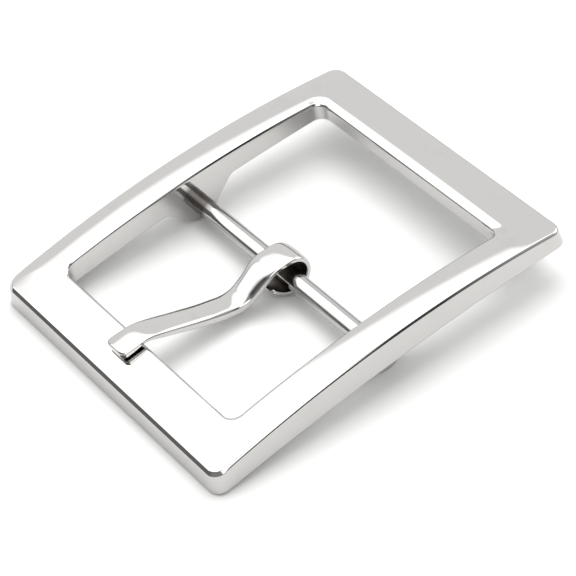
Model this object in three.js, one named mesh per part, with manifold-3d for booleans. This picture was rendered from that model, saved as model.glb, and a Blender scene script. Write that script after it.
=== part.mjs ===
// A centre-bar belt buckle with a swinging tongue, for a 40 mm strap. Millimetres, +Z up.
// The buckle lies as it rests on a table: on the lower edge of its front bar and on the two lobes
// that hold the centre bar, so its back bar is raised. The tongue points along -X, the bar along Y.
//
// There are three pieces: the die-cast frame, the steel centre bar, and the tongue hooked round it.
// All of them are worked out level, with the crown of the arch at the origin, and laid down last.

import * as THREE from 'three';
import { mergeVertices } from 'three/addons/utils/BufferGeometryUtils.js';
import Module from 'manifold-3d';

const wasm = await Module();
wasm.setup();

// ---------------------------------------------------------------- sizes, mm
const STRAP_WIDTH = 40;          // clear width between the side rails: the size the buckle is sold by
const WINDOW_LENGTH = 48.5;      // clear length between front and back bar
const SIDE_RAIL = 5.4;           // width of each side rail
const FRONT_BAR = 7.4;           // width of the bar under the tongue's tip
const BACK_BAR = 7.8;            // width of the bar beyond the folded end of the strap
const TOP_RADIUS = 175.6;        // arch of the upper face, about an axis along Y
const UNDER_RADIUS = 330;        // arch of the lower face, flatter than the upper one
const UNDER_CENTRE = 4.5;        // where along X the lower arch is highest: the front bar is the deeper one
const INNER_THICKNESS = 4.35;    // thickness at the window's wall, where the lower arch is highest
const OUTER_DROP = 0.25;         // the underside is this much lower at the outer walls than at the window
const DRAFT = 0.35;              // the outer walls lean out by this much from top to bottom
const OUTER_CORNER = 2.0;        // plan radius of the four outer corners
const INNER_CORNER = 1.8;        // plan radius of the four corners of the window
const EDGE_ROUND = 0.6;          // rounding of the upper edges of the frame
const FOOT_ROUND = 0.35;         // rounding of its lower edges
const CROWN = 0.12;              // rise of the upper face between its edges

const BAR_DIAMETER = 3.0;        // centre bar
const BAR_DROP = 6.09;           // its axis below the crown of the arch
const BAR_CHAMFER = 0.3;         // at both ends of the bar
const HOLE_CLEARANCE = 0.08;     // radial, bar in its blind holes
const END_CLEARANCE = 0.3;       // axial, bar in its blind holes
const BAR_BITE = 1.8;            // how far the bar reaches into each lobe

const LOBE_WALL = 1.65;          // metal round the bar in each lobe, outside the bar's own radius
const LOBE_FLOOR = 1.0;          // metal between a hole's end and the lobe's outer face
const LOBE_FLANK = 45;           // degrees, slope of the flanks that run up into the rail
const LOBE_EDGE = 0.35;          // rounding of the lobe's outer edge
const FILLET_DROP = 0.85;        // the hollow fillet at a flank's upper end starts this far below
const FILLET_RUN = 1.9;          // ... the rail's lower face, and runs out over this length
const LOBE_ROOT = 1.2;           // how far a lobe's plate reaches up inside the rail

const EYE_WALL = 1.0;            // wall of the tongue's round eye
const EYE_PLAY = 0.95;           // radial play of the bar in the eye
const EYE_LIFT = 0.44;           // centre of the eye above the bar's axis at rest
const EYE_WIDTH = 4.7;           // along the bar
const EYE_PLACE = 0.1;           // where the eye sits along the bar at rest
const SHANK_WIDTH = 4.0;         // tongue between eye and tip
const TIP_WIDTH = 4.15;          // tip, a little wider than the shank
const TIP_SWAY = 0.051;          // sideways lean of the loose tongue, mm per mm of its length
const TIP_INSET = 3.25;          // from the front bar's outer edge to the tip's end
const TIP_GAP = 0.3;             // tongue above the front bar
const TIP_THICKNESS = 1.4;       // of the strip at its tip
const WRIST_THICKNESS = 0.9;     // ... where it leaves the front bar
const SHANK_THICKNESS = 1.8;     // ... at the lowest place of the shank
const SECTION_POWER = 3.4;       // squareness of the tongue's section: 2 would be an ellipse

// ---------------------------------------------------------------- derived
const LENGTH = FRONT_BAR + WINDOW_LENGTH + BACK_BAR;
const WIDTH = STRAP_WIDTH + 2 * SIDE_RAIL;
const FRONT_X = -LENGTH / 2;
const WINDOW_FRONT = FRONT_X + FRONT_BAR;
const WINDOW_BACK = WINDOW_FRONT + WINDOW_LENGTH;
const BAR_RADIUS = BAR_DIAMETER / 2;
const BAR_LENGTH = STRAP_WIDTH + 2 * BAR_BITE;
const HOLE_DEPTH = BAR_BITE + END_CLEARANCE;
const LOBE_RADIUS = BAR_RADIUS + LOBE_WALL;
const LOBE_THICKNESS = HOLE_DEPTH + LOBE_FLOOR;
const EYE_RADIUS = BAR_RADIUS + EYE_PLAY + EYE_WALL;
const EYE_Z = EYE_LIFT - BAR_DROP;

// The upper and the lower face, as heights over the crown of the arch.
const topAt = (x) => Math.sqrt(TOP_RADIUS ** 2 - x * x) - TOP_RADIUS;
const underAt = (x) => (
  Math.sqrt(UNDER_RADIUS ** 2 - (x - UNDER_CENTRE) ** 2) - UNDER_RADIUS - INNER_THICKNESS);

// ---------------------------------------------------------------- solids
function solidOf(geometry) {
  const g = geometry.clone();
  g.deleteAttribute('normal');
  g.deleteAttribute('uv');
  const merged = mergeVertices(g, 1e-4);
  const mesh = new wasm.Mesh({
    numProp: 3,
    vertProperties: new Float32Array(merged.attributes.position.array),
    triVerts: new Uint32Array(merged.index.array),
  });
  return new wasm.Manifold(mesh);
}

function geometryOf(solid) {
  const mesh = solid.getMesh();
  const g = new THREE.BufferGeometry();
  g.setAttribute('position', new THREE.BufferAttribute(new Float32Array(mesh.vertProperties), 3));
  g.setIndex(new THREE.BufferAttribute(new Uint32Array(mesh.triVerts), 1));
  g.computeVertexNormals();
  return g;
}

// Points round a rounded rectangle. Every such ring has the same number of points in the same order,
// so rings of different sizes can be joined point by point.
const CORNER_STEPS = 6;
const SIDE_STEPS = 20;
const END_STEPS = 6;
const RING_POINTS = 4 * CORNER_STEPS + 2 * SIDE_STEPS + 2 * END_STEPS;

function roundedRectangle(x0, x1, halfY, radius) {
  const corners = [
    [x1 - radius, halfY - radius, 0, SIDE_STEPS],
    [x0 + radius, halfY - radius, 90, END_STEPS],
    [x0 + radius, radius - halfY, 180, SIDE_STEPS],
    [x1 - radius, radius - halfY, 270, END_STEPS],
  ];
  const points = [];
  corners.forEach(([cx, cy, start, pieces], n) => {
    for (let i = 0; i <= CORNER_STEPS; i += 1) {
      const angle = THREE.MathUtils.degToRad(start + (90 * i) / CORNER_STEPS);
      points.push(new THREE.Vector2(cx + radius * Math.cos(angle), cy + radius * Math.sin(angle)));
    }
    const [nx, ny, nextStart] = corners[(n + 1) % 4];
    const angle = THREE.MathUtils.degToRad(nextStart);
    const next = new THREE.Vector2(nx + radius * Math.cos(angle), ny + radius * Math.sin(angle));
    const last = points[points.length - 1].clone();
    for (let i = 1; i < pieces; i += 1) {
      points.push(last.clone().lerp(next, i / pieces));
    }
  });
  return points;
}

// ---------------------------------------------------------------- frame
// The outline of the frame moved in by `inset`, and the window's moved out by it.
const outerRing = (inset) => roundedRectangle(
  FRONT_X + inset, -FRONT_X - inset, WIDTH / 2 - inset, OUTER_CORNER - Math.max(inset, 0));
const windowRing = (inset) => roundedRectangle(
  WINDOW_FRONT - inset, WINDOW_BACK + inset, STRAP_WIDTH / 2 + inset, INNER_CORNER + inset);
const footRing = (inset) => outerRing(inset - DRAFT);
const footAt = (x) => underAt(x) - OUTER_DROP;

// The frame's section, as rings one above the other: up the outer wall, over the crowned top, down
// the window's wall and back along the underside. Each entry gives points and a height for every x.
function frameSection() {
  const quarter = [0, 30, 60, 90].map((degrees) => THREE.MathUtils.degToRad(degrees));
  const back = [...quarter].reverse();
  const edge = (ring, face, radius, inwards, angles) => angles.map((angle) => ({
    points: ring(radius * (1 - Math.cos(angle))),
    height: (x) => face(x) + inwards * radius * (1 - Math.sin(angle)),
  }));
  const from = outerRing(EDGE_ROUND);
  const to = windowRing(EDGE_ROUND);
  const across = (share, height) => ({
    points: from.map((point, i) => point.clone().lerp(to[i], share)),
    height,
  });
  return [
    ...edge(outerRing, topAt, EDGE_ROUND, -1, quarter),
    across(0.25, (x) => topAt(x) + 0.75 * CROWN),
    across(0.5, (x) => topAt(x) + CROWN),
    across(0.75, (x) => topAt(x) + 0.75 * CROWN),
    ...edge(windowRing, topAt, EDGE_ROUND, -1, back),
    ...edge(windowRing, underAt, FOOT_ROUND, 1, quarter),
    across(0.5, (x) => underAt(x) - OUTER_DROP / 2),
    ...edge(footRing, footAt, FOOT_ROUND, 1, back),
  ];
}

// A torus, its tube pressed to that section and its circle to the rounded rectangle.
function makeRing() {
  const section = frameSection();
  const torus = new THREE.TorusGeometry(20, 4, section.length, RING_POINTS);
  const position = torus.attributes.position;
  for (let j = 0; j <= section.length; j += 1) {
    const { points, height } = section[j % section.length];
    for (let i = 0; i <= RING_POINTS; i += 1) {
      const point = points[i % RING_POINTS];
      position.setXYZ(j * (RING_POINTS + 1) + i, point.x, point.y, height(point.x));
    }
  }
  return solidOf(torus);
}

// The plate that a lobe is made of, in the XZ plane: a round nose about the bar, two straight flanks,
// and a hollow fillet where each flank runs out into the rail's lower face.
function lobeShape() {
  const flank = THREE.MathUtils.degToRad(LOBE_FLANK);
  const noseX = LOBE_RADIUS * Math.sin(flank);
  const noseZ = -BAR_DROP - LOBE_RADIUS * Math.cos(flank);
  const filletZ = -INNER_THICKNESS - FILLET_DROP;
  const filletX = noseX + (filletZ - noseZ) / Math.tan(flank);
  const half = [];
  const noseSteps = 7;
  for (let i = 0; i <= noseSteps; i += 1) {
    const angle = (flank * i) / noseSteps;
    const x = LOBE_RADIUS * Math.sin(angle);
    const z = -BAR_DROP - LOBE_RADIUS * Math.cos(angle);
    half.push(new THREE.Vector2(x, z));
  }
  const startSlope = 0.8 * Math.tan(flank);
  const filletSteps = 5;
  for (let i = 0; i <= filletSteps; i += 1) {
    const t = i / filletSteps;
    const rise = FILLET_RUN * startSlope * (t - 0.3 * t * t);
    half.push(new THREE.Vector2(filletX + FILLET_RUN * t, filletZ + rise));
  }
  half.push(new THREE.Vector2(filletX + FILLET_RUN, LOBE_ROOT - INNER_THICKNESS));
  const otherHalf = half.slice(1).reverse().map((point) => new THREE.Vector2(-point.x, point.y));
  return new THREE.Shape([...otherHalf, ...half]);
}

// One lobe, standing on the side of the window that `side` names (+1 or -1) and reaching outwards.
function makeLobe(side) {
  const overrun = 1;
  const plate = new THREE.ExtrudeGeometry(lobeShape(), {
    depth: LOBE_THICKNESS + overrun - 2 * LOBE_EDGE,
    bevelEnabled: true,
    bevelThickness: LOBE_EDGE,
    bevelSize: LOBE_EDGE,
    bevelOffset: -LOBE_EDGE,
    bevelSegments: 3,
    curveSegments: 1,
  });
  // The extrusion runs along +Z from -LOBE_EDGE; lay it along Y.
  plate.rotateX(Math.PI / 2);
  const inner = STRAP_WIDTH / 2 - overrun;
  const reach = LOBE_THICKNESS + overrun;
  plate.translate(0, side > 0 ? inner + reach - LOBE_EDGE : -inner - LOBE_EDGE, 0);
  const box = new THREE.BoxGeometry(WINDOW_LENGTH, STRAP_WIDTH, 40);
  return solidOf(plate).subtract(solidOf(box));
}

function cylinderAlongY(radius, length, segments) {
  return new THREE.CylinderGeometry(radius, radius, length, segments, 1);
}

function makeFrame() {
  const hole = cylinderAlongY(BAR_RADIUS + HOLE_CLEARANCE, STRAP_WIDTH + 2 * HOLE_DEPTH, 40);
  hole.translate(0, 0, -BAR_DROP);
  return makeRing().add(makeLobe(1)).add(makeLobe(-1)).subtract(solidOf(hole));
}

// ---------------------------------------------------------------- centre bar
function makeBar() {
  const half = BAR_LENGTH / 2;
  const profile = [
    new THREE.Vector2(0, -half),
    new THREE.Vector2(BAR_RADIUS - BAR_CHAMFER, -half),
    new THREE.Vector2(BAR_RADIUS, -half + BAR_CHAMFER),
    new THREE.Vector2(BAR_RADIUS, half - BAR_CHAMFER),
    new THREE.Vector2(BAR_RADIUS - BAR_CHAMFER, half),
    new THREE.Vector2(0, half),
  ];
  const bar = new THREE.LatheGeometry(profile, 40);
  bar.translate(0, 0, -BAR_DROP);
  return solidOf(bar);
}

// ---------------------------------------------------------------- tongue
// The tongue is one strip: tip, sagging shank, swan neck, and an eye hooked round the bar.
// Each station: place of the strip's outer face in XZ, its half width and its thickness.
function tongueStations() {
  const tipX = FRONT_X + TIP_INSET;
  const shank = SHANK_WIDTH / 2;
  const tip = TIP_WIDTH / 2;
  const eye = EYE_WIDTH / 2;
  const at = (x, z, half, thick) => ({ x, z, half, thick });
  // Over the front bar the strip keeps its gap to the bar's upper face.
  const overBar = (x, half, thick) => at(x, topAt(x) + CROWN + TIP_GAP + thick, half, thick);
  // Places about the eye's centre, in eye radii; `round` goes by degrees instead.
  const aboutEye = (x, z, half, thick) => at(x * EYE_RADIUS, z * EYE_RADIUS + EYE_Z, half, thick);
  const round = (degrees, thick) => {
    const angle = THREE.MathUtils.degToRad(degrees);
    return aboutEye(Math.cos(angle), Math.sin(angle), eye, thick);
  };
  const wrist = overBar(WINDOW_FRONT, shank, WRIST_THICKNESS);
  const neck = aboutEye(-3.188, 0.252, shank, SHANK_THICKNESS);
  // Between the front bar and the neck: shares of the way along and of the way down.
  const between = (along, down, thick) => at(
    THREE.MathUtils.lerp(wrist.x, neck.x, along), THREE.MathUtils.lerp(wrist.z, neck.z, down),
    shank, thick);
  return [
    overBar(tipX, tip * 0.9, TIP_THICKNESS - 0.2),
    overBar(tipX + 0.4, tip, TIP_THICKNESS),
    overBar(tipX + 2.2, tip, (TIP_THICKNESS + WRIST_THICKNESS) / 2),
    wrist,
    between(0.16, 0.105, 1.15),
    between(0.39, 0.355, 1.4),
    between(0.628, 0.629, 1.6),
    between(0.851, 0.868, 1.75),
    neck,
    aboutEye(-2.696, 0.145, shank, SHANK_THICKNESS),
    aboutEye(-2.29, 0.174, shank * 1.04, 1.75),
    aboutEye(-1.942, 0.333, shank * 1.08, 1.65),
    aboutEye(-1.623, 0.536, eye * 0.94, 1.5),
    aboutEye(-1.333, 0.725, eye * 0.97, 1.35),
    aboutEye(-1.014, 0.89, eye, 1.2),
    aboutEye(-0.667, 0.983, eye, 1.1),
    aboutEye(-0.319, 1.009, eye, EYE_WALL),
    round(88, EYE_WALL),
    round(64, EYE_WALL),
    round(40, EYE_WALL),
    round(16, EYE_WALL),
    round(-8, EYE_WALL),
    round(-32, EYE_WALL),
    round(-56, EYE_WALL),
    round(-80, EYE_WALL),
    round(-104, 0.95 * EYE_WALL),
    round(-128, 0.9 * EYE_WALL),
    aboutEye(-0.899, -0.522, eye * 0.98, 0.85 * EYE_WALL),
    aboutEye(-1.145, -0.246, eye * 0.94, 0.75 * EYE_WALL),
  ];
}

// The strip is a finely divided box: each of its cross-sections is pressed to a rounded rectangle
// (a superellipse) and laid square to the path of the outer face.
function makeTongue() {
  const stations = tongueStations();
  const path = new THREE.CatmullRomCurve3(
    stations.map((s) => new THREE.Vector3(s.x, 0, s.z)), false, 'centripetal');
  const steps = 110;
  const box = new THREE.BoxGeometry(1, 1, 1, steps, 8, 4);
  const position = box.attributes.position;
  for (let i = 0; i < position.count; i += 1) {
    const t = position.getX(i) + 0.5;
    const u = position.getY(i) * 2;
    const v = position.getZ(i) * 2;
    const place = path.getPoint(t);
    const tangent = path.getTangent(t);
    const outward = new THREE.Vector3(-tangent.z, 0, tangent.x);
    const along = t * (stations.length - 1);
    const n = Math.min(Math.floor(along), stations.length - 2);
    const share = THREE.MathUtils.smoothstep(along - n, 0, 1);
    const half = THREE.MathUtils.lerp(stations[n].half, stations[n + 1].half, share);
    const thick = THREE.MathUtils.lerp(stations[n].thick, stations[n + 1].thick, share);
    const size = Math.abs(u) ** SECTION_POWER + Math.abs(v) ** SECTION_POWER;
    const pull = size > 0 ? Math.max(Math.abs(u), Math.abs(v)) / size ** (1 / SECTION_POWER) : 0;
    const across = u * pull * half;
    const depth = (v * pull * thick) / 2 - thick / 2;
    const x = place.x + outward.x * depth;
    const z = place.z + outward.z * depth;
    position.setXYZ(i, x, EYE_PLACE - TIP_SWAY * x + across, z);
  }
  return solidOf(box);
}

// ---------------------------------------------------------------- assembly
const materials = {
  frame: new THREE.MeshStandardMaterial({ color: 0xd9dadb, roughness: 0.12, metalness: 1 }),
  centre_bar: new THREE.MeshStandardMaterial({ color: 0xcfd1d3, roughness: 0.18, metalness: 1 }),
  tongue: new THREE.MeshStandardMaterial({ color: 0xdcddde, roughness: 0.12, metalness: 1 }),
};

// The tilt at rest: the line from the front bar's lower edge that just touches the lobes is the table.
const footX = FRONT_X - DRAFT + FOOT_ROUND;
const footZ = footAt(footX);
const reachToBar = Math.hypot(footX, BAR_DROP + footZ);
const tilt = Math.asin(LOBE_RADIUS / reachToBar) + Math.atan2(footZ + BAR_DROP, -footX);

const solids = { frame: makeFrame(), centre_bar: makeBar(), tongue: makeTongue() };
const buckle = new THREE.Group();
buckle.name = 'belt_buckle';
for (const [name, solid] of Object.entries(solids)) {
  const geometry = geometryOf(solid);
  geometry.rotateY(-tilt);
  const mesh = new THREE.Mesh(geometry, materials[name]);
  mesh.name = name;
  buckle.add(mesh);
}

// Stand it on z = 0 with the middle of its footprint at the origin.
const box = new THREE.Box3().setFromObject(buckle);
const middle = box.getCenter(new THREE.Vector3());
for (const mesh of buckle.children) {
  mesh.geometry.translate(-middle.x, -middle.y, -box.min.z);
}

export default buckle;
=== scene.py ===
# %% [markdown]
# # A polished belt buckle
# The buckle has three pieces: a cast frame with two lobes under its side rails, a round centre bar
# held in the lobes, and a tongue hooked round the bar. A mirror finish shows every mistake in a
# surface, so each piece is worked out as one smooth surface instead of being built up from blocks
# and bevels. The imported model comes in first. It fixes the sizes and the joints, and it never moves.

# %% Load the frame of reference
import math

import bpy
import numpy as np
from mathutils import Matrix, Vector


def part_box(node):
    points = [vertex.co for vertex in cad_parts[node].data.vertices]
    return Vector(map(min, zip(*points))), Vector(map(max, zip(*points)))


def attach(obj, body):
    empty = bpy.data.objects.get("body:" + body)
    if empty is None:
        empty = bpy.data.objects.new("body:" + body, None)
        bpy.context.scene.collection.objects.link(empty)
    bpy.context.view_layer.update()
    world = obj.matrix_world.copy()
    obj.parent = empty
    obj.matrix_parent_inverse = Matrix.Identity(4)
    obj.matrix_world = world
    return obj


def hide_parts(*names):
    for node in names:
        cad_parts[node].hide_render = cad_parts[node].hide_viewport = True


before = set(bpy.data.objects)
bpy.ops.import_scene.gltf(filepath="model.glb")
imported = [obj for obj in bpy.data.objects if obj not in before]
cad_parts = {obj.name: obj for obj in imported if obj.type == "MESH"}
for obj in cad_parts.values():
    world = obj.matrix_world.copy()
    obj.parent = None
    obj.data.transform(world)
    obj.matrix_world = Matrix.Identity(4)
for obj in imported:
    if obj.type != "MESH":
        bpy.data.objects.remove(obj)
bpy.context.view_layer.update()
MM = 0.001

# %% [markdown]
# ## Level and tilted
# The buckle is designed level, with the crown of its arch at the origin, and then laid down on the
# table: it rests on its front bar and on the two lobes, so the back bar is raised by a few degrees.
# All shapes here are worked out level, in millimetres, and laid down by one function. The centre
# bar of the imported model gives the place: its axis is where the level design says it should be.

# %% From the level design to the table
TILT = math.radians(4.743)
BAR_DROP = 6.09
bar_low, bar_high = (np.array(corner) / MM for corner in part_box("centre_bar"))
bar_axis = (bar_low + bar_high) / 2
LAY = np.array([
    [math.cos(TILT), 0.0, -math.sin(TILT)],
    [0.0, 1.0, 0.0],
    [math.sin(TILT), 0.0, math.cos(TILT)],
])
OFFSET = bar_axis - LAY @ np.array([0.0, 0.0, -BAR_DROP])


def lay_down(points):
    """Turns level points by the tilt about Y, adds the offset and changes millimetres to metres."""
    return (points @ LAY.T + OFFSET) * MM


print("centre bar's axis, mm:", np.round(bar_axis, 3), "offset:", np.round(OFFSET, 3))


# %% [markdown]
# ## A surface from a grid
# Every piece is a grid of points: one direction runs along the piece, the other round its section.
# Four neighbours make a quad. A direction that closes on itself joins its last row to its first, so
# there is no seam, and an end is closed by a fan of triangles to one middle point.

# %% Grid to mesh
def grid_piece(name, grid, close_along, caps=False, values=None):
    """Joins grid[i, j] to its neighbours; j always closes, i closes if close_along is true.

    values is a dictionary of numbers on the same grid, kept as attributes for the material.
    """
    along, around = grid.shape[:2]
    rows = along if close_along else along - 1
    i, j = np.meshgrid(np.arange(rows), np.arange(around), indexing="ij")
    i2, j2 = (i + 1) % along, (j + 1) % around
    quads = np.stack([i * around + j, i2 * around + j, i2 * around + j2, i * around + j2], axis=-1)
    faces = [quads.reshape(-1, 4)]
    points = grid.reshape(-1, 3)
    if caps:
        ring = np.arange(around)
        ends = np.stack([grid[0].mean(axis=0), grid[-1].mean(axis=0)])
        first, last = len(points), len(points) + 1
        points = np.concatenate([points, ends])
        near = np.stack([np.full(around, first), ring, (ring + 1) % around], axis=-1)
        base = (along - 1) * around
        far = np.stack([np.full(around, last), base + (ring + 1) % around, base + ring], axis=-1)
        faces += [near, far]
    sizes = np.concatenate([np.full(len(f), f.shape[1]) for f in faces])
    corners = np.concatenate([f.reshape(-1) for f in faces])
    mesh = bpy.data.meshes.new(name)
    mesh.vertices.add(len(points))
    mesh.vertices.foreach_set("co", lay_down(points).reshape(-1))
    mesh.loops.add(len(corners))
    mesh.loops.foreach_set("vertex_index", corners.astype(np.int32))
    mesh.polygons.add(len(sizes))
    mesh.polygons.foreach_set("loop_start", np.concatenate([[0], np.cumsum(sizes)[:-1]]).astype(np.int32))
    mesh.polygons.foreach_set("use_smooth", np.ones(len(sizes), dtype=bool))
    mesh.update(calc_edges=True)
    mesh.validate()
    for key, amounts in (values or {}).items():
        spread = np.concatenate([amounts.reshape(-1), amounts[[0, -1]].mean(axis=1)])[:len(points)]
        mesh.attributes.new(key, "FLOAT", "POINT").data.foreach_set("value", spread)
    piece = bpy.data.objects.new(name, mesh)
    bpy.context.scene.collection.objects.link(piece)
    volume = signed_volume(lay_down(points) / MM, faces)
    print(f"{name}: {len(points)} points, {int((sizes - 2).sum())} triangles, {volume:.0f} mm3")
    return piece


def signed_volume(points, faces):
    """Adds the volumes of the wedges from the origin to each triangle; above 0, faces point out."""
    total = 0.0
    for face in faces:
        for k in range(1, face.shape[1] - 1):
            a, b, c = points[face[:, 0]], points[face[:, k]], points[face[:, k + 1]]
            total += np.einsum("ij,ij->i", a, np.cross(b, c)).sum() / 6
    return total


def smooth_step(t):
    """0 below 0, 1 above 1 and the cubic 3t^2 - 2t^3 between."""
    t = np.clip(t, 0.0, 1.0)
    return t * t * (3 - 2 * t)


# %% [markdown]
# ## The frame's outline
# Seen from above, the frame is a rounded rectangle with a rectangular window. Rings round both
# outlines have the same number of points in the same order, so a point on one ring has a partner on
# every other ring. The points stand closer on the side rails, where the lobes are.

# %% Rings round the frame
STRAP_WIDTH, WINDOW_LENGTH = 40.0, 48.5
SIDE_RAIL, FRONT_BAR, BACK_BAR = 5.4, 7.4, 7.8
OUTER_CORNER, INNER_CORNER = 2.0, 1.8
EDGE_ROUND, FOOT_ROUND, DRAFT = 0.6, 0.35, 0.35
LENGTH = FRONT_BAR + WINDOW_LENGTH + BACK_BAR
WIDTH = STRAP_WIDTH + 2 * SIDE_RAIL
FRONT_X = -LENGTH / 2
WINDOW_FRONT, WINDOW_BACK = FRONT_X + FRONT_BAR, FRONT_X + FRONT_BAR + WINDOW_LENGTH
CORNER_STEPS, SIDE_STEPS, END_STEPS = 18, 230, 110


def rounded_rectangle(x0, x1, half_y, radius):
    """Four quarter circles joined by four straight runs, as an array of points (x, y)."""
    centres = [(x1 - radius, half_y - radius), (x0 + radius, half_y - radius),
               (x0 + radius, radius - half_y), (x1 - radius, radius - half_y)]
    arcs = []
    for quarter, (cx, cy) in enumerate(centres):
        angle = math.pi / 2 * (quarter + np.linspace(0, 1, CORNER_STEPS + 1))
        arcs.append(np.stack([cx + radius * np.cos(angle), cy + radius * np.sin(angle)], axis=1))
    parts = []
    for quarter, steps in enumerate((SIDE_STEPS, END_STEPS, SIDE_STEPS, END_STEPS)):
        start, end = arcs[quarter][-1], arcs[(quarter + 1) % 4][0]
        share = (np.arange(1, steps) / steps)[:, None]
        parts += [arcs[quarter], start + (end - start) * share]
    return np.concatenate(parts)


def outer_ring(inset):
    """The frame's outline moved inwards by inset, or outwards where inset is below 0."""
    return rounded_rectangle(FRONT_X + inset, -FRONT_X - inset, WIDTH / 2 - inset,
                             OUTER_CORNER - max(inset, 0.0))


def window_ring(inset):
    """The window's outline moved into the metal by inset."""
    return rounded_rectangle(WINDOW_FRONT - inset, WINDOW_BACK + inset, STRAP_WIDTH / 2 + inset,
                             INNER_CORNER + inset)


print("points in a ring:", len(outer_ring(0.0)), "outline, mm:", LENGTH, "x", WIDTH)

# %% [markdown]
# ## Arches and lobes
# Three heights make the frame's shape. The upper face follows a long arch, so the buckle bends with
# the wearer's waist. The underside follows a flatter arch, which leaves the front bar the thicker
# one. Under each side rail it drops to a rounded lobe where the bar is held.

# %% Heights of the faces
TOP_RADIUS, UNDER_RADIUS, UNDER_CENTRE = 175.6, 330.0, 4.5
INNER_THICKNESS, OUTER_DROP, CROWN = 4.35, 0.25, 0.12
LOBE_RADIUS, LOBE_BLEND, LOBE_FLANK = 3.15, 0.75, math.radians(45)


def top_at(x):
    """Height of a circle of TOP_RADIUS whose highest point is at the origin."""
    return np.sqrt(TOP_RADIUS ** 2 - x ** 2) - TOP_RADIUS


def under_at(x):
    """Height of the lower circle along the window's wall."""
    return np.sqrt(UNDER_RADIUS ** 2 - (x - UNDER_CENTRE) ** 2) - UNDER_RADIUS - INNER_THICKNESS


def lobe_at(x):
    """A circle about the bar's axis below, straight flanks above it, blended into the underside."""
    reach = LOBE_RADIUS * math.sin(LOBE_FLANK)
    nose = -BAR_DROP - np.sqrt(np.maximum(LOBE_RADIUS ** 2 - x ** 2, 0.0))
    flank = -BAR_DROP - LOBE_RADIUS / math.cos(LOBE_FLANK) + np.abs(x) * math.tan(LOBE_FLANK)
    shape = np.where(np.abs(x) < reach, nose, flank)
    gap = np.clip((shape - under_at(x)) / LOBE_BLEND, -1.0, 1.0)
    # Below -1 the lobe's own shape holds, above 1 the underside; a parabola joins them between.
    joined = under_at(x) - LOBE_BLEND * (1 - gap) ** 2 / 4
    return np.where(gap <= -1.0, shape, joined)


sample = np.array([0.0, 3.0, 6.0, 9.0])
print("lobe's height, mm, at", sample, ":", np.round(lobe_at(sample), 2))


# %% [markdown]
# ## The upper face
# The upper face is what the eye reads first. It could be a flat top with fillets, but a cast and
# polished buckle has none: the wheel leaves a slow crown across each rail, and a soft bevel towards
# the window along the back bar. Crown and bevel are sums of smooth curves, so reflections cross them
# without a break. Towards the front the inner half of the face runs level.

# %% Crown and bevel
RAIL_CROWN, BAR_CROWN = 0.1, 0.05
CROWN_SIDE, CROWN_SIDE_BLEND, CROWN_END, CROWN_END_BLEND = 19.0, 2.5, 27.0, 4.0
LEVEL_FRONT, LEVEL_RUN = -20.0, 22.0
ROLL_START, ROLL_DEPTH = 1.3, 0.22
ROLL_FROM, ROLL_BLEND, ROLL_BEND = 22.2, 1.9, 0.5


def crown_slope(ring):
    """Slope of the upper face at its edges: steeper on the side rails than on the two bars."""
    across_rail = smooth_step((np.abs(ring[:, 1]) - CROWN_SIDE) / CROWN_SIDE_BLEND)
    along_rail = smooth_step((CROWN_END - np.abs(ring[:, 0])) / CROWN_END_BLEND)
    return BAR_CROWN + (RAIL_CROWN - BAR_CROWN) * across_rail * along_rail


def roll_depth(ring):
    """The soft bevel lies along the back bar and dies out in the corners of the window."""
    return ROLL_DEPTH * smooth_step((ring[:, 0] - ROLL_FROM) / ROLL_BLEND)


def upper_face(share, outer, inner):
    """Arch + slope * gap * (share * (1 - share) + level) - depth * bend, from outer to inner ring.

    share runs from 0 at the outer edge to 1 at the window. The level term is (share - 1/2)^2 in the
    inner half at the front, where it cancels the crown's fall. The bend starts ROLL_START before
    the window as a parabola and goes on straight.
    """
    ring = outer + (inner - outer) * share
    gap = np.linalg.norm(inner - outer, axis=1)
    level = (1 - smooth_step((ring[:, 0] - LEVEL_FRONT) / LEVEL_RUN)) * max(share - 0.5, 0) ** 2
    rise = crown_slope(ring) * gap * (share * (1 - share) + level)
    into = np.clip((ROLL_START - gap * (1 - share)) / ROLL_START, 0, 1)
    curved, straight = into ** 2 / (2 * ROLL_BEND), into - ROLL_BEND / 2
    roll = np.where(into < ROLL_BEND, curved, straight) / (1 - ROLL_BEND / 2)
    return ring, top_at(ring[:, 0]) + rise - roll_depth(ring) * roll


slopes_seen = crown_slope(outer_ring(0.0))
print("slope at the outer edge, from", slopes_seen.min(), "to", slopes_seen.max())

# %% [markdown]
# ## Underside and upper edge
# The underside is plain except for the two lobes. The upper outer edge is broken by a narrow flat
# between two roundings, as a file and a wheel would leave it. The flat is wider along the front bar,
# where a strap slides over it, and it draws a dark line there.

# %% Underside and edge
LOBE_ZONE, LOBE_LAP = 12.0, 0.1
# Slope of the flat, its length and its rounding, along the rails and along the front.
RAIL_FLAT, FRONT_FLAT = (math.radians(33), 0.08, 0.54), (math.radians(43), 0.52, 0.25)
FRONT_ZONE, FRONT_BLEND = 3.6, 3.4
LOW_STEPS, HIGH_STEPS = 7, 9


def plain_under(ring):
    """The underside without the lobes, a little lower towards the outer wall."""
    inset = np.clip(np.abs(ring[:, 1]) - STRAP_WIDTH / 2, 0, SIDE_RAIL)
    end = np.clip(np.maximum(WINDOW_FRONT - ring[:, 0], ring[:, 0] - WINDOW_BACK) / BACK_BAR, 0, 1)
    return under_at(ring[:, 0]) - OUTER_DROP * np.maximum(inset / SIDE_RAIL, end)


def lobed_under(ring):
    """The lobes under the two side rails, and the plain underside everywhere else."""
    plain = plain_under(ring)
    near_bar = (np.abs(ring[:, 0]) < LOBE_ZONE) & (np.abs(ring[:, 1]) > STRAP_WIDTH / 2 - LOBE_LAP)
    return np.where(near_bar, np.minimum(lobe_at(ring[:, 0]), plain), plain)


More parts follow.
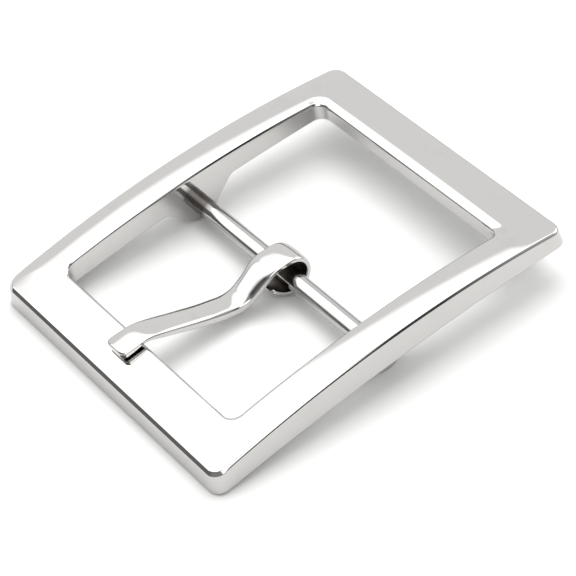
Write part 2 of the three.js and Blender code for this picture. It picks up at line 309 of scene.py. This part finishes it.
def edge_steps(slope, length, rounding):
    """Steps (inset, drop) of a rounding up to the slope, a flat, and a rounding up to the crown."""
    last = math.pi / 2 - math.atan(RAIL_CROWN)
    angle = np.concatenate([np.linspace(0, slope, LOW_STEPS), np.linspace(slope, last, HIGH_STEPS)])
    after = np.arange(LOW_STEPS + HIGH_STEPS) >= LOW_STEPS
    inset = rounding * (1 - np.cos(angle)) + after * length * math.sin(slope)
    climb = rounding * np.sin(angle) + after * length * math.cos(slope)
    return inset, EDGE_ROUND - climb * EDGE_ROUND / climb[-1]


def upper_edge():
    """Rings and heights of the upper outer edge; the front's flat is wider than the rails'."""
    front = smooth_step((FRONT_X + FRONT_ZONE - outer_ring(0.0)[:, 0]) / FRONT_BLEND)[:, None]
    rows = []
    for rail_inset, rail_drop, inset, drop in zip(*edge_steps(*RAIL_FLAT), *edge_steps(*FRONT_FLAT)):
        ring = outer_ring(rail_inset) * (1 - front) + outer_ring(inset) * front
        fall = rail_drop + (drop - rail_drop) * front[:, 0]
        rows.append((ring, top_at(ring[:, 0]) - fall))
    return rows


print("stops on the upper edge:", len(upper_edge()))

# %% [markdown]
# ## The frame's section
# The section is walked once round: up the outer wall, over the edge and the crowned top, down the
# window's wall, round the lobe, and back along the underside. Each stop is a ring of points and a
# rule for their height. Stops are close together at the roundings and next to them, because the
# light's edge on a mirror is only as clean as the surface under it.

# %% Walk round the section
INNER_ROUND, LOBE_EDGE, LOBE_REACH, LOBE_STEP = 0.55, 0.3, 2.7, 0.75
WALL_SHARES = (0.02, 0.06, 0.2, 0.4, 0.6, 0.8, 0.94, 0.98)
FACE_SHARES = np.concatenate([[0.012, 0.035], np.linspace(0.07, 0.7, 10), np.linspace(0.72, 0.985, 22)])
NOSE_INSETS = (0.5, 0.8, 1.2, 1.7, 2.2, 2.6, LOBE_REACH)
UNDER_SHARES = (0.05, 0.2, 0.4, 0.6, 0.8, 0.95, 0.985)
ROUND_STEPS, STEP_STEPS = 10, 17


def frame_grid():
    """Rings in order round the section, stacked as an array [place along the ring, stop, xyz]."""
    stops = []

    def stop(ring, height):
        stops.append(np.column_stack([ring, height]))

    quarter = np.radians(np.linspace(0, 90, ROUND_STEPS))
    # Outer wall, leaning out towards the foot.
    for share in WALL_SHARES:
        ring = outer_ring(-DRAFT * (1 - share))
        low = plain_under(ring) + FOOT_ROUND
        high = top_at(ring[:, 0]) - EDGE_ROUND
        stop(ring, low + (high - low) * share)
    # Upper edge; it stops where its slope is that of the crown.
    for ring, height in upper_edge():
        stop(ring, height)
    # Upper face, from the last ring of the edge to the first of the window's rounding.
    outer, inner = ring, window_ring(INNER_ROUND)
    for share in FACE_SHARES:
        stop(*upper_face(share, outer, inner))
    inner_top = upper_face(1.0, outer, inner)[1]
    for angle in quarter[::-1]:
        ring = window_ring(INNER_ROUND * (1 - math.cos(angle)))
        stop(ring, inner_top - INNER_ROUND * (1 - math.sin(angle)))
    # Window wall down to the lobe or the underside.
    wall = window_ring(0.0)
    low = lobed_under(wall) + LOBE_EDGE
    for share in WALL_SHARES:
        stop(wall, inner_top - INNER_ROUND + (low - inner_top + INNER_ROUND) * share)
    for angle in quarter:
        ring = window_ring(LOBE_EDGE * (1 - math.cos(angle)))
        stop(ring, lobed_under(ring) + LOBE_EDGE * (1 - math.sin(angle)))
    # Nose of the lobe, then the step from its outer face up to the plain underside.
    for inset in NOSE_INSETS:
        ring = window_ring(inset)
        stop(ring, lobed_under(ring))
    for share in np.linspace(0, 1, STEP_STEPS)[1:]:
        ring = window_ring(LOBE_REACH + LOBE_STEP * share)
        low, high = lobed_under(ring), plain_under(ring)
        stop(ring, low + (high - low) * smooth_step(smooth_step(share)))
    # Underside out to the foot, and the foot's rounding.
    start, foot = window_ring(LOBE_REACH + LOBE_STEP), outer_ring(FOOT_ROUND - DRAFT)
    for share in UNDER_SHARES:
        ring = start + (foot - start) * share
        stop(ring, plain_under(ring))
    for angle in quarter[::-1]:
        ring = outer_ring(FOOT_ROUND * (1 - math.cos(angle)) - DRAFT)
        stop(ring, plain_under(ring) + FOOT_ROUND * (1 - math.sin(angle)))
    return np.stack(stops, axis=1)


polished_frame = grid_piece("polished_frame", frame_grid(), close_along=True)
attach(polished_frame, "frame")
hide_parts("frame")

# %% [markdown]
# ## The centre bar
# The bar is a turned pin: a profile of radius against length, carried round its axis. Its ends are
# chamfered and sit inside the lobes. The middle of each end face is closed by a fan. Beside the
# lobes, where the bar runs under the rails, a number on each point paints shade into the bar: darker and
# rougher there.

# %% Turn the bar
BAR_RADIUS, BAR_HALF, BAR_CHAMFER = 1.5, 21.8, 0.3
FAN_RADIUS, CHAMFER_LAND, END_LAND = 0.4, 0.1, 1.0
BAR_STEPS, BAR_SIDES = 60, 128
# Painted shade: the bar is painted darker towards its ends, where it runs under the rails into the lobes.
BAR_SHADE_FROM, BAR_SHADE_BLEND, BAR_SHADE_AMOUNT = 16.9, 0.9, 0.8
ends = np.array([
    [-BAR_HALF, FAN_RADIUS],
    [-BAR_HALF, BAR_RADIUS - BAR_CHAMFER],
    [-BAR_HALF + BAR_CHAMFER, BAR_RADIUS],
    [-BAR_HALF + BAR_CHAMFER + CHAMFER_LAND, BAR_RADIUS],
])
middle_half = BAR_HALF - END_LAND
middle = np.column_stack([np.linspace(-middle_half, middle_half, BAR_STEPS),
                          np.full(BAR_STEPS, BAR_RADIUS)])
profile = np.concatenate([ends, middle, ends[::-1] * [-1, 1]])
turn = np.linspace(0, 2 * math.pi, BAR_SIDES, endpoint=False)
bar_grid = np.stack([
    profile[:, 1:] * np.cos(turn),
    np.repeat(profile[:, :1], len(turn), axis=1),
    profile[:, 1:] * np.sin(turn) - BAR_DROP,
], axis=-1)
# How much painted shade each point of the bar gets, rising towards both ends.
bar_shade = BAR_SHADE_AMOUNT * smooth_step((np.abs(bar_grid[:, :, 1]) - BAR_SHADE_FROM) / BAR_SHADE_BLEND)
steel_bar = grid_piece("steel_bar", bar_grid, close_along=False, caps=True,
                       values={"painted_shade": bar_shade})
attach(steel_bar, "centre_bar")
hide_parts("centre_bar")

# %% [markdown]
# ## The tongue
# The tongue is one strip of metal: a squared tip that rests on the front bar, a shank that sags, a
# swan neck, and a round eye. It could be modelled by bending a bar with a curve, but then its width
# and its thickness could not change on the way. Here the path of the outer face, the half width and
# the thickness are all smooth curves through a few stations, and a section is laid square to the
# path at every step.

# %% Stations along the tongue
EYE_RADIUS, EYE_WALL, EYE_LIFT, EYE_WIDTH, EYE_PLACE = 3.45, 1.0, 0.44, 4.7, 0.1
SHANK_HALF, TIP_HALF, TIP_SWAY = 2.0, 2.075, 0.051
TIP_X, TIP_GAP = FRONT_X + 3.25, 0.3


def over_bar(x, half, thick):
    """A station over the front bar, its underside held the tip gap above the bar's upper face."""
    return (x, float(top_at(x)) + CROWN + TIP_GAP + thick, half, thick)


def round_eye(degrees, half, thick=EYE_WALL):
    """A station on the circle of the eye."""
    angle = math.radians(degrees)
    return (EYE_RADIUS * math.cos(angle), EYE_RADIUS * math.sin(angle) + EYE_LIFT - BAR_DROP, half, thick)


EYE_HALF = EYE_WIDTH / 2
stations = np.array([
    over_bar(TIP_X, TIP_HALF, 1.35), over_bar(TIP_X + 2.2, TIP_HALF, 1.15),
    over_bar(WINDOW_FRONT, SHANK_HALF, 0.9), (-22.3, -0.85, SHANK_HALF, 1.15),
    (-19.2, -1.95, SHANK_HALF, 1.4), (-16.0, -3.15, SHANK_HALF, 1.6),
    (-13.0, -4.2, SHANK_HALF, 1.75), (-11.0, -4.78, SHANK_HALF, 1.8),
    (-9.3, -5.15, SHANK_HALF, 1.8), (-7.9, -5.05, SHANK_HALF * 1.04, 1.75),
    (-6.7, -4.5, SHANK_HALF * 1.08, 1.65), (-5.6, -3.8, EYE_HALF * 0.94, 1.5),
    (-4.6, -3.15, EYE_HALF * 0.97, 1.35), (-3.5, -2.58, EYE_HALF, 1.2),
    (-2.3, -2.26, EYE_HALF, 1.1), (-1.1, -2.17, EYE_HALF, EYE_WALL),
    round_eye(88, EYE_HALF), round_eye(64, EYE_HALF), round_eye(40, EYE_HALF),
    round_eye(16, EYE_HALF), round_eye(-8, EYE_HALF), round_eye(-32, EYE_HALF),
    round_eye(-56, EYE_HALF), round_eye(-80, EYE_HALF), round_eye(-104, EYE_HALF, 0.95),
    round_eye(-128, EYE_HALF, 0.9), (-3.1, -7.45, EYE_HALF * 0.98, 0.85),
    (-3.95, -6.5, EYE_HALF * 0.94, 0.75),
])
print("stations:", len(stations))


# %% [markdown]
# A natural cubic spline goes through every station and bends as little as it can between them. Its
# slope and its bend are both continuous, so reflections run along the tongue without a kink.

# %% Spline through the stations
def natural_spline(knots, values, at):
    """Solves for the bend at each knot, with none at the ends, and evaluates the cubics at `at`."""
    steps = np.diff(knots)
    slopes = np.diff(values, axis=0) / steps[:, None]
    count = len(knots)
    system = np.eye(count)
    inside = np.arange(1, count - 1)
    system[inside, inside - 1] = steps[:-1]
    system[inside, inside] = 2 * (steps[:-1] + steps[1:])
    system[inside, inside + 1] = steps[1:]
    right = np.zeros_like(values)
    right[1:-1] = 6 * np.diff(slopes, axis=0)
    bend = np.linalg.solve(system, right)
    k = np.clip(np.searchsorted(knots, at, side="right") - 1, 0, count - 2)
    h, t = steps[k][:, None], (at - knots[k])[:, None]
    linear = slopes[k] - h * (2 * bend[k] + bend[k + 1]) / 6
    return values[k] + t * linear + t ** 2 * bend[k] / 2 + t ** 3 * (bend[k + 1] - bend[k]) / (6 * h)


knots = np.concatenate([[0], np.cumsum(np.hypot(*np.diff(stations[:, :2], axis=0).T))])
print("length of the strip, mm:", round(float(knots[-1]), 2))


# %% [markdown]
# The section is a rectangle with rounded corners and a domed upper side. Both ends of the strip are
# closed by drawing the section in along a quarter circle, which leaves flat end faces with rounded
# corners. The inner side of the eye gets painted shade, like the ends of the bar.

# %% Sweep the tongue
SECTION_POWER, DOME = 5.0, 0.2
TIP_CORNER, TIP_EDGE, TIP_EDGE_SHARE = 0.85, 0.4, 0.8
END_STOPS, BODY_STOPS, SECTION_STEPS = 26, 400, 112
# Where the inner side of the eye gets painted shade: the side of the section and the stretch along the
# strip.
INNER_SIDE, INNER_SIDE_BLEND, EYE_FROM, EYE_BLEND = -0.8, 0.15, 19.5, 3.0
SLOPE_STEP = 1e-4


def section_shape(count):
    """A squared circle |u|^p + |v|^p = 1, walked once round."""
    angle = np.linspace(0, 2 * math.pi, count, endpoint=False)
    c, s = np.cos(angle), np.sin(angle)
    size = (np.abs(c) ** SECTION_POWER + np.abs(s) ** SECTION_POWER) ** (-1 / SECTION_POWER)
    return c * size, s * size


def end_inset(distance, radius):
    """How far a rounded end face draws the section in: r - sqrt(r^2 - (r - d)^2)."""
    short = radius - np.clip(distance, 0, radius)
    return radius - np.sqrt(radius ** 2 - short ** 2)


def tongue_grid():
    """Sections square to the path: outer face plus depth along the inward normal, width along Y."""
    total = knots[-1]
    ease = TIP_CORNER * (1 - np.cos(np.linspace(0, math.pi / 2, END_STOPS)))
    body = np.linspace(TIP_CORNER, total - TIP_CORNER, BODY_STOPS)[1:-1]
    at = np.concatenate([ease, body, total - ease[::-1]])
    values = natural_spline(knots, stations, at)
    ahead, behind = (natural_spline(knots, stations, at + d)[:, :2] for d in (SLOPE_STEP, -SLOPE_STEP))
    along = ahead - behind
    along /= np.linalg.norm(along, axis=1)[:, None]
    outward = np.stack([-along[:, 1], along[:, 0]], axis=1)
    from_end = np.minimum(at, total - at)
    width = values[:, 2] - end_inset(from_end, TIP_CORNER)
    half = (values[:, 3] / 2 - end_inset(from_end, TIP_EDGE) * TIP_EDGE_SHARE)[:, None]
    u, v = section_shape(SECTION_STEPS)
    sides = DOME * u ** 2 * np.clip(v, 0, None) * (half / half.max())
    depth = v * half - values[:, 3:4] / 2 - sides
    x = values[:, :1] + outward[:, :1] * depth
    z = values[:, 1:2] + outward[:, 1:] * depth
    y = EYE_PLACE - TIP_SWAY * x + width[:, None] * u
    # Painted shade on the inner side of the eye, zero elsewhere.
    in_eye = smooth_step((at - EYE_FROM) / EYE_BLEND)[:, None]
    eye_shade = smooth_step((INNER_SIDE - v) / INNER_SIDE_BLEND) * in_eye
    return np.stack([x, y, z], axis=-1), eye_shade


tongue_points, tongue_shade = tongue_grid()
polished_tongue = grid_piece("polished_tongue", tongue_points[:, ::-1], close_along=False, caps=True,
                             values={"painted_shade": tongue_shade[:, ::-1]})
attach(polished_tongue, "tongue")
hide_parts("tongue")


# %% [markdown]
# ## Writing shader maths
# Node trees are easier to read as sums. This small class wraps a socket of one material, and the
# ordinary operators on it add Math nodes. Everything else goes through `node`, which takes a
# node's type, its settings and the values or links of its sockets.

# %% A socket that can be added and multiplied
class Wire:
    """An output socket with arithmetic; each operation adds one Math node to its tree."""

    def __init__(self, tree, socket):
        self.tree, self.socket = tree, socket

    def math(self, operation, *others):
        return node(self.tree, "ShaderNodeMath", {"operation": operation},
                    {k: v for k, v in enumerate((self, *others))})

    def __add__(self, other):
        return self.math("ADD", other)

    __radd__ = __add__

    def __mul__(self, other):
        return self.math("MULTIPLY", other)

    def __sub__(self, other):
        return self.math("SUBTRACT", other)

    def __rsub__(self, other):
        return node(self.tree, "ShaderNodeMath", {"operation": "SUBTRACT"}, {0: other, 1: self})

    def between(self, low, high):
        """0 at low, 1 at high, held between."""
        return node(self.tree, "ShaderNodeMapRange", {"clamp": True},
                    {"Value": self, "From Min": low, "From Max": high})


def node(tree, kind, settings=None, sockets=None, out=0):
    """Adds a node, applies its settings, then its socket values or links; returns one output."""
    added = tree.nodes.new(kind)
    for key, value in (settings or {}).items():
        setattr(added, key, value)
    for key, value in (sockets or {}).items():
        if isinstance(value, Wire):
            tree.links.new(value.socket, added.inputs[key])
        else:
            added.inputs[key].default_value = value
    return Wire(tree, added.outputs[out]) if len(added.outputs) else None


print("shader helpers ready")

# %% [markdown]
# ## Polished nickel
# Nickel plate is a metal with a faintly warm grey reflection. On a polished part nothing is quite
# flat: buffing leaves a slow waviness, the wheel leaves hair-fine marks along the metal, and
# handling leaves a few duller patches. All three are small here, because the finish is a mirror.
# The waviness and the marks go through Bump, the patches only change the roughness and the tint.
# Where a piece carries painted shade, the metal is painted darker and made rougher.

# %% Nickel and steel
NICKEL, STEEL = (0.565, 0.556, 0.546), (0.48, 0.478, 0.47)
# Near black colour of the painted shade at the bar's ends and inside the eye.
SHADE_COLOUR = (0.09, 0.075, 0.066)
MIRROR, TURNED = 0.05, 0.11
WAVE_SCALE, SMUDGE_SCALE = 160.0, 230.0
DULL_LOW, DULL_HIGH, DULL_TINT = 0.56, 0.78, 0.94
DULL_ROUGH, HAIR_ROUGH, SHADE_ROUGH = 0.03, 0.02, 0.28


def metal(name, tint, roughness, stretch, wave, marks, seed):
    """A mirror metal: tint and roughness vary slowly, bump is slow waviness plus fine marks."""
    material = bpy.data.materials.new(name)
    material.use_nodes = True
    tree = material.node_tree
    tree.nodes.clear()
    # Output 3 holds Object coordinates, so the marks move with the piece.
    place = node(tree, "ShaderNodeTexCoord", out=3)
    fine_place = node(tree, "ShaderNodeMapping", {}, {"Vector": place, "Scale": stretch})
    slow = node(tree, "ShaderNodeTexNoise", {"noise_dimensions": "4D"},
                {"Vector": place, "W": seed, "Scale": WAVE_SCALE, "Detail": 1.0, "Roughness": 0.4})
    hairs = node(tree, "ShaderNodeTexNoise", {"noise_dimensions": "4D"},
                 {"Vector": fine_place, "W": seed + 3.0, "Scale": 1.0, "Detail": 3.0, "Roughness": 0.55})
    smudge = node(tree, "ShaderNodeTexNoise", {"noise_dimensions": "4D"},
                  {"Vector": place, "W": seed + 7.0, "Scale": SMUDGE_SCALE, "Detail": 4.0, "Roughness": 0.6})
    # Attribute that carries the painted shade; it also adds roughness.
    painted_shade = node(tree, "ShaderNodeAttribute", {"attribute_name": "painted_shade"}, out=2)
    dull = smudge.between(DULL_LOW, DULL_HIGH)
    # Sockets 0, 6 and 7 of a colour Mix are its factor and its two colours.
    colour = node(tree, "ShaderNodeMix", {"data_type": "RGBA"},
                  {0: dull, 6: (*tint, 1.0), 7: (*(DULL_TINT * c for c in tint), 1.0)}, out=2)
    # Painted shade: the colour is mixed towards the near black shade colour.
    colour = node(tree, "ShaderNodeMix", {"data_type": "RGBA"},
                  {0: painted_shade, 6: colour, 7: (*SHADE_COLOUR, 1.0)}, out=2)
    rough = roughness + dull * DULL_ROUGH + hairs * HAIR_ROUGH + painted_shade * SHADE_ROUGH
    height = slow * wave + hairs * marks
    bump = node(tree, "ShaderNodeBump", {}, {"Strength": 1.0, "Distance": MM, "Height": height})
    shader = node(tree, "ShaderNodeBsdfPrincipled", {}, {
        "Base Color": colour, "Metallic": 1.0, "Roughness": rough, "Normal": bump})
    node(tree, "ShaderNodeOutputMaterial", {}, {"Surface": shader})
    return material


frame_nickel = metal("frame_nickel", NICKEL, MIRROR, (180.0, 2600.0, 2600.0), 0.012, 0.0005, 1.0)
tongue_nickel = metal("tongue_nickel", NICKEL, MIRROR, (220.0, 2600.0, 2600.0), 0.02, 0.0005, 5.0)
bar_steel = metal("bar_steel", STEEL, TURNED, (1500.0, 160.0, 1500.0), 0.008, 0.0004, 9.0)
for piece, name, material in (
    (polished_frame, "frame", frame_nickel),
    (steel_bar, "centre_bar", bar_steel),
    (polished_tongue, "tongue", tongue_nickel),
):
    piece.data.materials.append(material)
    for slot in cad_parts[name].material_slots:
        slot.material = material
print("materials:", [m.name for m in (frame_nickel, tongue_nickel, bar_steel)])

# %% [markdown]
# ## Floor
# The floor is a plain pale sheet. It is a light grey and not a full white, because the metal shows
# it in every wall, and a wall as bright as the sheet behind it would lose its outline.

# %% Floor
FLOOR_HALF = 0.9
FLOOR_GREY = (0.72, 0.72, 0.717, 1.0)
floor_mesh = bpy.data.meshes.new("floor")
floor_corners = [(x * FLOOR_HALF, y * FLOOR_HALF, 0) for x, y in ((-1, -1), (1, -1), (1, 1), (-1, 1))]
floor_mesh.from_pydata(floor_corners, [], [(0, 1, 2, 3)])
floor = bpy.data.objects.new("floor", floor_mesh)
bpy.context.scene.collection.objects.link(floor)
paper = bpy.data.materials.new("pale_floor")
paper.use_nodes = True
paper_tree = paper.node_tree
paper_tree.nodes.clear()
sheet = node(paper_tree, "ShaderNodeBsdfPrincipled", {}, {
    "Base Color": FLOOR_GREY, "Roughness": 0.75, "Specular IOR Level": 0.25})
node(paper_tree, "ShaderNodeOutputMaterial", {}, {"Surface": sheet})
floor_mesh.materials.append(paper)
print("floor, m:", 2 * FLOOR_HALF)

# %% [markdown]
# ## Room and lamp
# A mirror shows the room more than itself, so the room is laid out like a small studio. It could
# be built from emitting panels, but panels would need the right distance to every part of the
# metal; a room painted by direction only is simpler. There is a bright wall behind the buckle, a
# big white screen overhead that comes low on the left, two cards, and a dim rest, which draws the
# dark lines along the edges. A lamp in front of the screen gives the shadows their direction, and
# its reflection is lost in the screen's white.

# %% Paint the room
world = bpy.data.worlds.new("white_room")
bpy.context.scene.world = world
world.use_nodes = True
room = world.node_tree
room.nodes.clear()
# In a world's tree, output 0 is the direction looked in.
direction = node(room, "ShaderNodeTexCoord", out=0)
AWAY, ACROSS = (0.65, 0.76, 0.0), (0.76, -0.65, 0.0)
LOW_RIGHT, NEAR_SIDE = (0.867, 0.0, 0.498), (-0.12, -0.70, 0.70)
SEAM_LEVEL, WALL_RISE, DIM_LEVEL = 0.08, 1.02, 0.07
LEFT_RISE, RIGHT_RISE, NEAR_RISE, TOP_RISE = 0.12, 0.48, 0.25, 0.35
SCREEN_EDGE, SCREEN_DROP = 0.735, 0.42
SCREEN_LEVEL, CARD_LEVEL, FILL_LEVEL = 1.85, 1.6, 2.4


def along(axis):
    """How far the direction looked in points along an axis."""
    return node(room, "ShaderNodeVectorMath", {"operation": "DOT_PRODUCT"}, {0: direction, 1: axis}, out=1)


up = node(room, "ShaderNodeSeparateXYZ", {}, {0: direction}, out=2)
away, across = along(AWAY), along(ACROSS)
# The wall behind the buckle is bright, with a dark seam where it meets the floor.
behind = away.between(0.0, 0.45)
wall = SEAM_LEVEL + up.between(0.04, 0.24) * WALL_RISE
# The rest of the room is dim: darkest at the front right, which draws the dark lines on the edges.
left = (across * -1).between(0.5, 0.8)
right = along((1.0, 0.0, 0.0)).between(0.42, 0.60)
near = (away * -1).between(0.45, 0.8)
sides = DIM_LEVEL + left * LEFT_RISE + right * RIGHT_RISE + near * NEAR_RISE
dim = sides + up.between(0.72, 0.84) * TOP_RISE
room_level = behind * wall + (1 - behind) * dim
# The big white screen: overhead and behind, reaching low on the left, not over the camera.
drop = (across * -1).between(0.3, 0.62) * (1 - away.between(0.2, 0.4))
above_edge = (up - (SCREEN_EDGE - drop * SCREEN_DROP)).between(-0.03, 0.07)
screen = above_edge * away.between(-0.22, -0.04) * (1 - across.between(0.42, 0.58))
# Two smaller cards lighten the shadows: one low on the right, one high on the near side.
card = along(LOW_RIGHT).between(0.93, 0.965)
fill = along(NEAR_SIDE).between(0.90, 0.94)
level = room_level + screen * SCREEN_LEVEL + card * CARD_LEVEL + fill * FILL_LEVEL
glow = node(room, "ShaderNodeBackground", {}, {"Color": (1.0, 1.0, 0.995, 1.0), "Strength": level})
node(room, "ShaderNodeOutputWorld", {}, {"Surface": glow})

# One square soft light that faces the buckle.
LAMP_PLACE, LAMP_SIZE, LAMP_WATTS = Vector((0.20, 0.22, 0.80)), 0.5, 2.4
lamp_data = bpy.data.lights.new("overhead_lamp", "AREA")
lamp_data.shape, lamp_data.size, lamp_data.energy = "SQUARE", LAMP_SIZE, LAMP_WATTS
lamp = bpy.data.objects.new("overhead_lamp", lamp_data)
facing = (-LAMP_PLACE).to_track_quat("-Z", "Y").to_matrix().to_4x4()
lamp.matrix_world = Matrix.Translation(LAMP_PLACE) @ facing
bpy.context.scene.collection.objects.link(lamp)
print("room painted, lamp at", round(LAMP_PLACE.length, 2), "m")

# %% [markdown]
# ## Camera
# The camera looks down on the buckle from its front left, from about a third of a metre with a long
# lens. It is turned a little about its own axis, so the table is not level in the view.

# %% Place the camera
CAMERA_PLACE = Vector((-134.843, -194.971, 230.922)) * MM
CAMERA_RIGHT = Vector((0.779410, -0.622706, -0.068972))
CAMERA_UP = Vector((0.475337, 0.516030, 0.712579))
camera_data = bpy.data.cameras.new("camera")
camera_data.sensor_width, camera_data.lens = 36.0, 141.76
camera_data.clip_start = 0.01
camera = bpy.data.objects.new("camera", camera_data)
back = CAMERA_RIGHT.cross(CAMERA_UP).normalized()
axes = Matrix((CAMERA_RIGHT, back.cross(CAMERA_RIGHT), back)).transposed().to_4x4()
camera.matrix_world = Matrix.Translation(CAMERA_PLACE) @ axes
bpy.context.scene.collection.objects.link(camera)
bpy.context.scene.camera = camera
bpy.context.scene.view_settings.view_transform = "Standard"
bpy.context.scene.view_settings.look = "None"
print("camera distance, mm:", round(CAMERA_PLACE.length / MM, 1))
